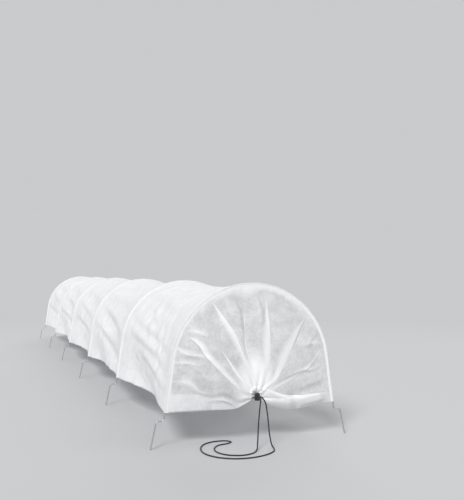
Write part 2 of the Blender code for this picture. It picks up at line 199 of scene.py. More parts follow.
def blend_colours(tree, share, first, second):
    """The socket of a colour between two, by a share from 0 to 1."""
    mix = tree.nodes.new("ShaderNodeMix")
    mix.data_type = "RGBA"
    sockets = {socket.identifier: socket for socket in (*mix.inputs, *mix.outputs)}
    for label, value in (("Factor_Float", share), ("A_Color", first), ("B_Color", second)):
        feed(tree, sockets[label], value)
    return sockets["Result_Color"]


def texture(tree, kind, scale, **settings):
    """A texture that keeps its place on a piece: noise, or the distance in cells."""
    place = put(tree, "TexCoord")["Object"]
    return put(tree, f"Tex{kind}", Vector=place, Scale=scale, **settings)[0]


def ramp(tree, value, low, high, **settings):
    """0 up to a low value and 1 from a high one."""
    return put(tree, "MapRange", Value=value, From_Min=low, From_Max=high, **settings)[0]


def between(tree, share, low, high):
    """The value between two at a share from 0 to 1."""
    return put(tree, "MapRange", Value=share, To_Min=low, To_Max=high)[0]


def relief(tree, height, strength, depth):
    """The normals of a fine relief."""
    return put(tree, "Bump", Strength=strength, Distance=depth, Height=height)[0]


def opaque(tree, **settings):
    """End a material in one plain shader."""
    put(tree, "OutputMaterial", Surface=put(tree, "BsdfPrincipled", **settings)[0])


def fleece_web_group():
    """Spun fleece: a cloudy web, thicker and thinner from place to place, with rows of small bond points.

    Where it lies in several layers it hides more and looks whiter; where it lies single its colour runs down
    to a greyer painted shade, for the dim inside seen through it.
    """
    group = bpy.data.node_groups.new("fleece_web", "ShaderNodeTree")
    for side, kind, labels in (
        ("INPUT", "NodeSocketVector", ("Place", "Flat Place")),
        ("INPUT", "NodeSocketFloat", ("Layers", "Cloud Size", "Thinnest", "Thickest")),
        ("OUTPUT", "NodeSocketFloat", ("Cover", "Whiteness", "Height")),
    ):
        for label in labels:
            group.interface.new_socket(label, in_out=side, socket_type=kind)
    given = group.nodes.new("NodeGroupInput").outputs
    gives = group.nodes.new("NodeGroupOutput").inputs

    def cloud(**settings):
        return put(group, "TexNoise", Vector=given["Place"], **settings)[0]

    def times(first, second):
        return maths(group, "MULTIPLY", first, second)

    def rest_of(share):
        return maths(group, "SUBTRACT", 1.0, share)

    scale = maths(group, "DIVIDE", 1.0, given["Cloud Size"])
    large = times(cloud(Scale=scale, Detail=3.0, Roughness=0.55), 0.65)
    small = times(cloud(Scale=times(scale, 4.5), Detail=2.0, Roughness=0.6), 0.35)
    thickness = ramp(group, maths(group, "ADD", large, small), 0.34, 0.66)
    single = rest_of(given["Layers"])
    cover = between(group, thickness, given["Thinnest"], given["Thickest"])
    feed(group, gives["Cover"], rest_of(times(rest_of(cover), maths(group, "POWER", single, 1.5))))
    lift = times(times(thickness, 0.45), single)
    feed(group, gives["Whiteness"], maths(group, "ADD", lift, given["Layers"]))
    bonds = put(group, "TexVoronoi", voronoi_dimensions="2D", Vector=given["Flat Place"], Scale=bond_scale,
                Randomness=0.15)
    dent = ramp(group, bonds["Distance"], 0.18, 0.34, interpolation_type="SMOOTHSTEP")
    fibres = cloud(Scale=fibre_scale, Detail=2.0, Roughness=0.7)
    feed(group, gives["Height"], maths(group, "ADD", dent, fibres))
    return group


def fleece_finish(name, painted_single_layer_shade, thinnest, thickest, cloud_size):
    """White non-woven fleece: matt, lets some light through, and shows a little of what is behind it."""
    made, tree = new_material(name)
    web = put(
        tree, "Group", node_tree=fleece_web, Cloud_Size=cloud_size, Thinnest=thinnest, Thickest=thickest,
        Place=put(tree, "TexCoord")["Object"],
        Flat_Place=put(tree, "UVMap", uv_map="flat_cloth")[0],
        Layers=put(tree, "Attribute", attribute_name="layers")["Fac"],
    )
    # The base colour runs from a greyer painted shade where the cloth lies single, for the dim inside seen
    # through it, to white where it lies in layers.
    cloth = put(
        tree, "BsdfPrincipled", Roughness=0.88, Sheen_Weight=0.08, Specular_IOR_Level=0.25,
        Base_Color=blend_colours(tree, web["Whiteness"], painted_single_layer_shade, white),
        Normal=relief(tree, web["Height"], 0.15, 0.0003),
    )
    through = put(tree, "BsdfTranslucent", Color=white)
    both = put(tree, "MixShader", fleece_glow, cloth[0], through[0])
    clear = put(tree, "BsdfTransparent")
    put(tree, "OutputMaterial", Surface=put(tree, "MixShader", web["Cover"], clear[0], both[0])[0])
    return made


def thread_finish_of(name, colour):
    """Spun sewing thread, matt."""
    made, tree = new_material(name)
    twist = texture(tree, "Noise", 3000.0, Detail=1.0)
    opaque(tree, Base_Color=colour, Roughness=0.75, Normal=relief(tree, twist, 0.5, 0.0001))
    return made


def metal_finish(name, colour, dull, low, high, scale):
    """Drawn wire with soft spangles and dull, rougher patches."""
    made, tree = new_material(name)
    patches = texture(tree, "Noise", scale * 0.3, Detail=3.0)
    mixed = maths(tree, "MULTIPLY_ADD", texture(tree, "Voronoi", scale), 0.5, patches)
    opaque(tree, Metallic=1.0, Base_Color=blend_colours(tree, mixed, dull, colour),
           Roughness=between(tree, mixed, high, low), Normal=relief(tree, mixed, 0.15, 0.0002))
    return made


def braid_finish(name):
    """Black braided cord: strands cross at a slant; crowns painted lighter as highlight, gaps dark as shade.
    """
    made, tree = new_material(name)
    parts = put(tree, "SeparateXYZ", put(tree, "UVMap", uv_map="along_cord")[0])
    along = maths(tree, "MULTIPLY", parts["X"], strands_per_diameter)

    def strand(count):
        slant = maths(tree, "MULTIPLY_ADD", parts["Y"], count, along)
        return maths(tree, "ABSOLUTE", maths(tree, "SINE", maths(tree, "MULTIPLY", slant, math.pi)))

    proud = maths(tree, "MAXIMUM", strand(strands_round), strand(-strands_round))
    # The raised strands are painted lighter as highlight, broken up by noise, and the gaps between them
    # darker as shade.
    painted_strand_highlight = maths(tree, "MULTIPLY", proud, texture(tree, "Noise", 700.0, Detail=2.0))
    shade = blend_colours(tree, painted_strand_highlight, (0.006, 0.006, 0.007), (0.040, 0.039, 0.037))
    opaque(tree, Roughness=0.82, Sheen_Weight=0.08, Base_Color=shade, Normal=relief(tree, proud, 0.7, 0.0003))
    return made


def plastic_finish(name):
    """Black moulded plastic with a fine spark-eroded grain and rubbed, dusty patches."""
    made, tree = new_material(name)
    grain = texture(tree, "Noise", 2600.0, Detail=1.0)
    dust = texture(tree, "Noise", 160.0, Detail=4.0)
    shade = blend_colours(tree, dust, (0.010, 0.010, 0.011), (0.040, 0.039, 0.038))
    opaque(tree, Base_Color=shade, Roughness=between(tree, dust, 0.22, 0.50),
           Normal=relief(tree, grain, 0.2, 0.0001))
    return made


fleece_web = fleece_web_group()
# The first colour of each fleece is painted shade: the greyer tone where the cloth lies single, standing for
# the dim inside seen through it; layers blend it to white.
bay_fleece = fleece_finish("bay_fleece", (0.89, 0.90, 0.91), 0.84, 0.95, 0.034)
end_fleece = fleece_finish("end_fleece", (0.72, 0.735, 0.74), 0.54, 0.76, 0.030)
sleeve_fleece = fleece_finish("sleeve_fleece", (0.86, 0.87, 0.88), 0.74, 0.88, 0.020)
bunched_fleece = fleece_finish("bunched_fleece", (0.90, 0.905, 0.91), 0.90, 1.0, 0.012)
thread_finish = thread_finish_of("sewing_thread", (0.90, 0.90, 0.91))
zinc = metal_finish("galvanised_wire", (0.60, 0.61, 0.62), (0.38, 0.39, 0.40), 0.28, 0.50, 900.0)
spring_steel = metal_finish("spring_steel", (0.74, 0.74, 0.74), (0.60, 0.60, 0.60), 0.20, 0.35, 2000.0)
braid = braid_finish("black_braid")
black_plastic = plastic_finish("black_plastic")


# Camera, light and floor


def new_object(name, data):
    """A new object in the scene."""
    thing = bpy.data.objects.new(name, data)
    bpy.context.scene.collection.objects.link(thing)
    return thing


def set_camera():
    """The photograph's viewing angle: low, from the left of the front end."""
    lens = bpy.data.cameras.new("camera")
    lens.sensor_width = lens_width
    lens.lens = lens_length
    eye = new_object("camera", lens)
    eye.location = eye_place
    eye.rotation_euler = eye_turn
    bpy.context.scene.camera = eye


def add_sun(name, towards, strength, softness):
    """Soft light from one side, the same all along the tunnel."""
    lamp = bpy.data.lights.new(name, "SUN")
    lamp.energy = strength
    lamp.angle = math.radians(softness)
    new_object(name, lamp).rotation_euler = Vector(towards).to_track_quat("Z", "Y").to_euler()


def seen_rays(tree):
    """1 for rays that see the background: the camera's own, and those in gloss and clear pieces."""
    rays = put(tree, "LightPath")
    gloss = maths(tree, "MAXIMUM", rays["Is Camera Ray"], rays["Is Glossy Ray"])
    return maths(tree, "MAXIMUM", gloss, rays["Is Transmission Ray"])


def set_world():
    """Even light from all round; the camera, gloss and clear pieces see a plain pale backdrop."""
    world = bpy.data.worlds.new("studio")
    bpy.context.scene.world = world
    world.use_nodes = True
    tree = world.node_tree
    tree.nodes.clear()
    light = put(tree, "Background", Color=(1.0, 1.0, 1.0), Strength=sky_strength)
    seen = put(tree, "Background", Color=backdrop, Strength=1.0)
    put(tree, "OutputWorld", Surface=put(tree, "MixShader", seen_rays(tree), light[0], seen[0])[0])


def lay_floor():
    """A plain pale floor that keeps the shadows and fades into the backdrop far away."""
    bpy.ops.mesh.primitive_plane_add(size=floor_size, location=(0.0, 0.0, 0.0))
    floor = bpy.context.object
    floor.name = "floor"
    made, tree = new_material("floor")
    centred = put(tree, "VectorMath", put(tree, "TexCoord")["Object"], (0.0, 0.6, 0.0), operation="ADD")
    far = put(tree, "VectorMath", centred[0], operation="LENGTH")["Value"]
    fade = ramp(tree, far, *floor_fade, interpolation_type="SMOOTHSTEP")
    share = maths(tree, "MULTIPLY", fade, seen_rays(tree))
    near = put(tree, "BsdfDiffuse", Color=floor_colour)
    plain = put(tree, "Emission", Color=backdrop)
    put(tree, "OutputMaterial", Surface=put(tree, "MixShader", share, near[0], plain[0])[0])
    floor.data.materials.append(made)


bpy.context.scene.view_settings.view_transform = "Standard"
set_camera()
set_world()
lay_floor()
add_sun("key", (-0.50, -0.62, 0.60), 2.45, 20.0)
add_sun("fill", (0.70, -0.30, 0.64), 0.25, 40.0)
add_sun("back", (0.42, 0.78, 0.46), 0.75, 40.0)


# Lines, sheets and tubes


def finished(thing, name, body, finish):
    """Name a piece, give it its finish and let it ride on its body."""
    thing.name = name
    thing.data.name = name
    thing.data.materials.clear()
    thing.data.materials.append(finish)
    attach(thing, body)
    return thing


def start_from(primitive, **settings):
    """A primitive, alone in the selection, with its place in its mesh."""
    bpy.ops.object.select_all(action="DESELECT")
    primitive(**settings)
    bpy.ops.object.transform_apply(location=True, rotation=True, scale=True)
    return bpy.context.object


def shade_smooth(mesh, sharp=None):
    """Smooth shading, with edges past an angle in degrees kept sharp."""
    mesh.shade_smooth()
    if sharp:
        mesh.set_sharp_from_angle(angle=math.radians(sharp))


def close_tube(thing):
    """In edit mode, close a tube's open ends and turn its faces outwards."""
    bpy.ops.mesh.select_mode(type="VERT")
    bpy.ops.mesh.select_all(action="DESELECT")
    bpy.ops.mesh.select_non_manifold()
    bpy.ops.mesh.fill_holes(sides=0)
    bpy.ops.mesh.select_all(action="SELECT")
    bpy.ops.mesh.normals_make_consistent(inside=False)
    bpy.ops.object.mode_set(mode="OBJECT")
    shade_smooth(thing.data, 60)
    return thing


def mesh_object(name, points, faces, sharp=None):
    """A smooth-shaded mesh object from points and faces."""
    mesh = bpy.data.meshes.new(name)
    mesh.from_pydata(np.asarray(points, float).tolist(), [], faces)
    mesh.update()
    shade_smooth(mesh, sharp)
    return new_object(name, mesh)


def face_corners(thing):
    """The number of the point at each corner of each face."""
    corners = np.empty(len(thing.data.loops), np.int32)
    thing.data.loops.foreach_get("vertex_index", corners)
    return corners


def quads(rows, columns, round_columns=False):
    """Faces of a grid of points, with the last column joined to the first if it goes round."""
    corner = np.arange(rows * columns).reshape(rows, columns)
    if round_columns:
        corner = np.hstack([corner, corner[:, :1]])
    found = np.stack([corner[:-1, :-1], corner[:-1, 1:], corner[1:, 1:], corner[1:, :-1]], axis=-1)
    return found.reshape(-1, 4).tolist()


def sheet_object(name, points, layers, closed=False, capped=False, sharp=None):
    """A sheet of cloth from rows of points, or with closed a tube of it.

    A map stores each point's place on the flat cloth in metres, and an attribute how far the cloth lies
    in several layers there, from 0 to 1; on the drawn ends it also holds painted highlight on wrinkle crests.
    """
    rows, columns = points.shape[:2]
    faces = quads(rows, columns, closed)
    if capped:
        faces += [list(range(columns))[::-1], [rows * columns - columns + k for k in range(columns)]]
    sheet = mesh_object(name, points.reshape(-1, 3), faces, sharp)
    across = np.linalg.norm(np.diff(points, axis=1), axis=-1).mean(0)
    along = np.linalg.norm(np.diff(points, axis=0), axis=-1).mean(1)
    u, v = (np.concatenate([[0.0], np.cumsum(gaps)]) for gaps in (across, along))
    flat = np.stack(np.meshgrid(u, v), -1).reshape(-1, 2).astype(np.float32)
    sheet.data.uv_layers.new(name="flat_cloth").uv.foreach_set("vector", flat[face_corners(sheet)].ravel())
    share = np.clip(np.broadcast_to(layers, (rows, columns)), 0, 1).astype(np.float32)
    sheet.data.attributes.new("layers", "FLOAT", "POINT").data.foreach_set("value", share.ravel())
    return sheet


def unit(vectors):
    """Vectors brought to length 1."""
    return vectors / np.maximum(np.linalg.norm(vectors, axis=-1, keepdims=True), 1e-12)


def distances(line):
    """How far along a line each of its points lies."""
    return np.concatenate([[0.0], np.cumsum(np.linalg.norm(np.diff(line, axis=0), axis=1))])


def read_off(at, reach, values):
    """What lies between the values of a line's points, at distances along it."""
    return np.stack([np.interp(at, reach, column) for column in values.T], -1)


def ease(share):
    """A share from 0 to 1 that starts and stops softly."""
    share = np.clip(share, 0, 1)
    return share * share * (3 - 2 * share)


def soft_noise(u, v, cell_u, cell_v, seed):
    """Smooth random heights from -1 to 1 over a sheet, about one to each cell."""
    rng = np.random.default_rng(seed)
    u, v = np.asarray(u) / cell_u, np.asarray(v) / cell_v
    low_u, low_v = math.floor(u.min()), math.floor(v.min())
    table = rng.uniform(-1, 1, (math.ceil(u.max()) - low_u + 2, math.ceil(v.max()) - low_v + 2))
    iu, iv = np.floor(u).astype(int) - low_u, np.floor(v).astype(int) - low_v
    fu, fv = ease(u - np.floor(u)), ease(v - np.floor(v))
    near = table[iu, iv] * (1 - fv) + table[iu, iv + 1] * fv
    far = table[iu + 1, iv] * (1 - fv) + table[iu + 1, iv + 1] * fv
    return near * (1 - fu) + far * fu


def crumple(u, v, seed):
    """Creases that fleece keeps from being folded away: ridges at three sizes, from -1 to 1."""
    total = np.zeros_like(u)
    for part, (cell, turn) in enumerate(((0.085, 0.5), (0.045, -0.9), (0.022, 1.9))):
        a = u * math.cos(turn) + v * math.sin(turn)
        b = v * math.cos(turn) - u * math.sin(turn)
        total += (1 - 2 * np.abs(soft_noise(a, b, cell, cell * 1.7, seed + part))) * 0.5**part
    return total / 1.75


def beside_fold(u, v, start, end, width):
    """How strong a fold from start to end over a sheet is, and how many of its widths off each place lies."""
    run = np.array(end) - np.array(start)
    length = float(np.hypot(*run))
    along = ((u - start[0]) * run[0] + (v - start[1]) * run[1]) / length**2
    across = ((v - start[1]) * run[0] - (u - start[0]) * run[1]) / length
    return np.sin(np.pi * np.clip(along, 0, 1)) ** 0.8, across / width


def drag_fold(u, v, start, end, width, height, sharp=False):
    """A fold's height over a sheet, soft or with a sharp crest, and a hollow along one side."""
    fade, off = beside_fold(u, v, start, end, width)
    crest = np.exp(-np.sqrt(off**2 + 0.02) * 1.6) if sharp else np.exp(-(off**2))
    return height * fade * (crest - 0.6 * np.exp(-((off - 1.7) ** 2)))


def cover_line(count):
    """Points on the cover's line in a hoop's plane, from the left hem over to the right hem.

    count is their number or their shares of the line. With them come their inward sides and their distances
    from the left hem.
    """
    angles = np.linspace(math.pi - leg_splay, leg_splay, arch_samples)
    arch = np.stack([arch_radius * np.cos(angles), arch_centre_z + arch_radius * np.sin(angles)], -1)
    heights = np.linspace(hem_z, arch[0, 1], leg_samples)[:-1]
    leg = np.stack([-(foot_x - (heights - step_z) * math.tan(leg_splay)), heights], -1)
    line = np.concatenate([leg, arch, leg[::-1] * [-1, 1]])
    reach = distances(line)
    at = np.linspace(0.0, reach[-1], count) if np.isscalar(count) else count * reach[-1]
    side = unit(np.gradient(line, axis=0)[:, ::-1] * [1, -1])
    return read_off(at, reach, line), unit(read_off(at, reach, side)), at


# The hoops as seen


def bend_hoop():
    """The front hoop, bent from straight wire as by hand: spike, step, leg, arch, leg, step, spike.

    Places in its plane are complex numbers: x across and z up.
    """
    spot = complex(-(foot_x + step_out + step_z * math.tan(spike_splay)), 0.0)
    wire = start_from(bpy.ops.mesh.primitive_circle_add, vertices=wire_sides, radius=wire_radius,
                      fill_type="NOTHING", location=(spot.real, first_hoop_y, 0.0))
    bpy.ops.object.mode_set(mode="EDIT")
    bpy.ops.mesh.select_all(action="SELECT")

    def run_to(point):
        nonlocal spot
        move = point - spot
        bpy.ops.mesh.extrude_region_move(TRANSFORM_OT_translate={"value": (move.real, 0.0, move.imag)})
        spot = point

    def bend_about(centre, turn, steps):
        nonlocal spot
        place = (centre.real, first_hoop_y, centre.imag)
        bpy.ops.mesh.spin(steps=steps, angle=turn, center=place, axis=(0.0, 1.0, 0.0))
        spot = centre + (spot - centre) * complex(math.cos(turn), math.sin(turn))

    def corner(before, point, after):
        into = (point - before) / abs(point - before)
        turn = float(np.angle((after - point) / into))
        start = point - into * step_bend_radius * math.tan(abs(turn) / 2)
        run_to(start)
        bend_about(start + into * complex(0.0, math.copysign(step_bend_radius, turn)), turn, step_bend_steps)

    arch_centre = complex(0.0, arch_centre_z)
    arch_start = arch_centre + arch_radius * complex(-math.cos(leg_splay), math.sin(leg_splay))
    left = [spot, complex(-(foot_x + step_out), step_z), complex(-foot_x, step_z), arch_start]
    right = [-place.conjugate() for place in reversed(left)]
    corner(*left[:3])
    corner(*left[1:])
    run_to(arch_start)
    bend_about(arch_centre, 2 * leg_splay - math.pi, arch_steps)
    corner(*right[:3])
    corner(*right[1:])
    run_to(right[3])
    bpy.ops.mesh.select_all(action="SELECT")
    bpy.ops.mesh.remove_doubles(threshold=0.00001)
    return close_tube(wire)


first_wire = bend_hoop()
for number, name in enumerate(hoop_names):
    wire = first_wire
    if number:
        wire = new_object(name, first_wire.data.copy())
        wire.data.transform(Matrix.Translation((0.0, hoop_pitch * number, 0.0)))
    finished(wire, f"{name}_wire", f"{name}_frame", zinc)
    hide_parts(f"{name}_hoop")


# Sleeves and their stitches


def make_stitch():
    """One short run of thread, lying along +X and pulled down at its ends."""
    run = start_from(bpy.ops.mesh.primitive_cylinder_add, vertices=6, radius=stitch_radius,
                     depth=stitch_length, rotation=(0.0, math.pi / 2, 0.0))
    bpy.ops.object.mode_set(mode="EDIT")
    for place in (stitch_bend, -stitch_bend):
        bpy.ops.mesh.select_all(action="SELECT")
        bpy.ops.mesh.bisect(plane_co=(place, 0.0, 0.0), plane_no=(1.0, 0.0, 0.0))
    bpy.ops.object.mode_set(mode="OBJECT")
    points = np.array([vertex.co for vertex in run.data.vertices])
    points[np.abs(points[:, 0]) > (stitch_bend + stitch_length / 2) / 2, 2] -= stitch_dip
    faces = [tuple(face.vertices) for face in run.data.polygons]
    bpy.data.objects.remove(run)
    return points, faces


stitch_points, stitch_faces = make_stitch()


def sew(name, lines):
    """Stitches along each line of points, lifted along the lines' own normals."""
    points, faces = [], []
    for line, up in lines:
        reach = distances(line)
        at = np.arange(stitch_pitch, reach[-1] - stitch_pitch / 2, stitch_pitch)
        spots = read_off(at, reach, line)
        ahead = unit(read_off(at + stitch_pitch / 4, reach, line) - spots)
        lift = read_off(at, reach, up)
        lift = unit(lift - ahead * (lift * ahead).sum(1, keepdims=True))
        for spot, x, y, z in zip(spots, ahead, np.cross(lift, ahead), lift):
            start = len(points) * len(stitch_points)
            points.append(spot + stitch_points @ np.stack([x, y, z]) + z * stitch_lift)
            faces += [tuple(corner + start for corner in face) for face in stitch_faces]
    return mesh_object(name, np.concatenate(points), faces)


def round_wire(low, high, steps):
    """Points of an arc of cloth over the wire, as (outward, along), from one angle in degrees to another."""
    angles = np.linspace(math.radians(low), math.radians(high), steps)
    return [(channel_radius * math.sin(angle), -channel_radius * math.cos(angle)) for angle in angles]


# Sections of a channel as (outward, along): the cover over the wire, then the strip sewn under it. On an end
# hoop it runs from the bay over the wire and down in front to the seam, and back inside.
bay_edge = [(-0.0012, 0.0058), (-0.0004, 0.0048), (0.0004, 0.0038)]
end_section = np.array([
    (-0.0012, 0.0058), (-0.0003, 0.0048), (0.0004, 0.0038), *round_wire(142, -12, 14),
    (-0.0030, -0.00205), (-0.0060, -0.0019), (-0.0096, -0.00205),
    (-0.0096, -0.00165), (-0.0060, -0.0014), (-0.0034, -0.00125),
    (-0.0024, -0.0004), (-0.0022, 0.0012), (-0.0013, 0.0044), (-0.0015, 0.0058),
])
middle_section = np.array([
    *bay_edge, *round_wire(140, 40, 11), *((out, -along) for out, along in bay_edge[::-1]),
    (-0.0015, -0.0058), (-0.0013, -0.0044), (-0.0020, -0.0022), (-0.0023, 0.0),
    (-0.0020, 0.0022), (-0.0013, 0.0044), (-0.0015, 0.0058),
])

sleeve_line, sleeve_sides, _ = cover_line(sleeve_rows)
for number, name in enumerate(hoop_names):
    y = first_hoop_y + hoop_pitch * number
    at_end = name in ("front", "rear")
    facing = -1.0 if name == "rear" else 1.0
    section = (end_section if at_end else middle_section) * (1.0, facing)
    if facing < 0:
        section = section[::-1]
    out, along = section.T
    over_wire = np.hypot(out, along) < channel_radius * 1.1
    flap = np.interp(-out, (0.0025, 0.0045, 0.0096), (1.0, 0.85, 0.10))
    layers = np.where(over_wire, hem_layers, flap if at_end else channel_layers)
    points = np.stack([
        sleeve_line[:, :1] - sleeve_sides[:, :1] * out,
        y + along + 0 * sleeve_line[:, :1],
        sleeve_line[:, 1:] - sleeve_sides[:, 1:] * out,
    ], -1)
    sleeve = sheet_object(f"{name}_channel", points, layers, closed=True, sharp=70)
    finished(sleeve, f"{name}_channel", f"{name}_frame", sleeve_fleece)
    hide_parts(f"{name}_sleeve")

    # Each seam's place and the way that its stitches face, as outward and along
    seams = [(0.0, -0.0046, 1.0, 0.0), (0.0, 0.0046, 1.0, 0.0)]
    if at_end:
        seams = [(-0.0068, -0.0021 * facing, 0.0, -facing), (0.0001, 0.0046 * facing, 1.0, 0.0)]
    lines = []
    for out, along, up_out, up_along in seams:
        line = np.insert(sleeve_line - sleeve_sides * out, 1, y + along, axis=1)
        lines.append((line, np.insert(-sleeve_sides * up_out, 1, up_along, axis=1)))
    stitches = sew(f"{name}_channel_stitches", lines)
    finished(stitches, f"{name}_channel_stitches", f"{name}_frame", thread_finish)


# The bays

# Folds that drag over a bay's sides: both ends, from the near hoop and from the hem, then width and height
left_drags = (
    ((0.58, 0.300), (0.03, 0.235), 0.018, 0.0040),
    ((0.58, 0.225), (0.02, 0.160), 0.016, 0.0052),
    ((0.57, 0.150), (0.04, 0.090), 0.015, 0.0056),
    ((0.42, 0.120), (0.02, 0.035), 0.014, 0.0048),
)
right_drags = (
    ((0.03, 0.300), (0.57, 0.225), 0.018, 0.0040),
    ((0.02, 0.215), (0.58, 0.120), 0.016, 0.0052),
    ((0.58, 0.290), (0.18, 0.200), 0.015, 0.0036),
    ((0.02, 0.120), (0.40, 0.035), 0.014, 0.0045),
)
first_bay_drags = (
    ((0.17, 0.330), (0.12, 0.080), 0.018, 0.0040),
    ((0.40, 0.350), (0.31, 0.120), 0.020, 0.0040),
    ((0.27, 0.240), (0.06, 0.030), 0.014, 0.0036),
)
short_folds = 11
bay_rows = 119
bay_columns = 213
drag_shift = 0.02
swell_height = 0.0022
crumple_height = 0.0013
hem_flutter = 0.0035
seam_dip = 0.00135

# The cloth's waves are spread over 26 steps from hem to hem, of which the first four start this far from it
corner_reach = np.array([0.0, 0.038, 0.081, 0.1233])
corner_share = np.arange(4) / 26


def short_drags(rng):
    """Short soft folds between the long ones, all about the way that the cloth is pulled."""
    found = []
    for _ in range(short_folds):
        u, v = rng.uniform(0.06, 0.50), rng.uniform(0.03, 0.34)
        length, turn = rng.uniform(0.06, 0.16), rng.uniform(0.15, 0.95)
        reach = (length * math.cos(turn) / 2, length * math.sin(turn) / 2)
        wide, high = rng.uniform(0.005, 0.011), rng.uniform(0.0010, 0.0026)
        found.append(((u + reach[0], v + reach[1]), (u - reach[0], v - reach[1]), wide, high))
    return tuple(found)


def bay_points(number):
    """Rows of points on a bay from its near hoop to its far one, from the left hem to the right hem.

    With them come how far the cloth lies in layers, and the columns' distances from the left hem.
    """
    line, sides, at = cover_line(bay_columns)
    width = at[-1]
    length = hoop_pitch - 2 * edge_gap
    along = np.linspace(0.0, 1.0, bay_rows)[:, None]
    belly = 4 * along * (1 - along)
    height = (line[:, 1] - hem_z) / (crown_z - hem_z)
    corners, shares = (width - corner_reach)[::-1], (1 - corner_share)[::-1]
    over = np.interp(at, [*corner_reach, *corners], [*corner_share, *shares])
    turns = fold_turns * np.abs(2 * over - 1) + fold_slants[number] * along + fold_phases[number]
    inward = belly * (side_sag + (crown_sag - side_sag) * height)
    inward = inward + belly * fold_depth * (1 - height) * np.cos(2 * np.pi * turns)
    u = along * length + 0 * at
    v = at + 0 * along
    to_hem = np.minimum(v, width - v)
    to_seam = np.minimum(u, length - u)
    rng = np.random.default_rng(40 + number)
    outward = np.zeros_like(u)
    on_left = left_drags + first_bay_drags if number == 0 else left_drags
    for drags, from_hem in ((on_left, v), (right_drags, width - v)):
        for start, end, wide, high in drags + short_drags(rng):
            shift = rng.uniform(-drag_shift, drag_shift, 4)
            start, end = np.add(start, shift[:2]), np.add(end, shift[2:])
            outward += drag_fold(u, from_hem, start, end, wide, high) * (from_hem < width / 2)
    outward += swell_height * soft_noise(u, v, 0.17, 0.09, 60 + number) * height
    outward += crumple_height * crumple(u, v, 100 + 7 * number) * (1 - 0.65 * height)
    outward += hem_flutter * np.exp(-to_hem / 0.035) * soft_noise(u, v, 0.045, 0.5, 80 + number)
    inward = inward - np.minimum(1.0, belly * 2.2) * outward + seam_dip * np.exp(-((to_seam / 0.012) ** 2))
    x = line[:, 0] + sides[:, 0] * inward
    z = line[:, 1] + sides[:, 1] * inward + belly * hem_rise * (1 - height) ** 4
    y = first_hoop_y + hoop_pitch * number + edge_gap + u
    hems = np.clip((hem_band + 0.001 - to_hem) / 0.002, 0, 1)
    seams = np.clip((0.010 - to_seam) / 0.002, 0, 1)
    return np.stack([x, y, z], -1), np.maximum(hem_layers * hems, seam_layers * seams), at


def grid_normals(points):
    """Unit normals over a grid of points."""
    return unit(np.cross(np.gradient(points, axis=1), np.gradient(points, axis=0)))


def with_hems(points, normals, count):
    """The sheet with its two long edges turned under once, which makes the double hems."""
    inside = points - normals * hem_gap
    edges = []
    for column in (slice(0, 1), slice(-1, None)):
        edge = points[:, column] - normals[:, column] * hem_gap / 2
        edge[..., 2] -= hem_gap / 2
        edges.append(edge)
    left = inside[:, : count + 1][:, ::-1]
    right = inside[:, -(count + 1) :][:, ::-1]
    return np.concatenate([left, edges[0], points, edges[1], right], axis=1)


for number in range(len(hoop_names) - 1):
    body = f"{hoop_names[number]}_frame"
    points, layers, at = bay_points(number)
    normals = grid_normals(points)
    count = int(np.searchsorted(at, hem_band))
    all_layers = np.pad(layers, ((0, 0), (count + 2, count + 2)), constant_values=hem_layers)
    bay = sheet_object(f"fleece_bay_{number + 1}", with_hems(points, normals, count), all_layers)
    finished(bay, f"fleece_bay_{number + 1}", body, bay_fleece)
    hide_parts(f"cover_bay_{number + 1}")

    # The stitches stop short of both channels
    lines = [(points[3:-3, column], normals[3:-3, column]) for column in (count - 1, -count)]
    sewn = sew(f"bay_hem_stitches_{number + 1}", lines)
    finished(sewn, f"bay_hem_stitches_{number + 1}", body, thread_finish)
    for piece in (bay, sewn):
        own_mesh(piece)


# The drawn ends

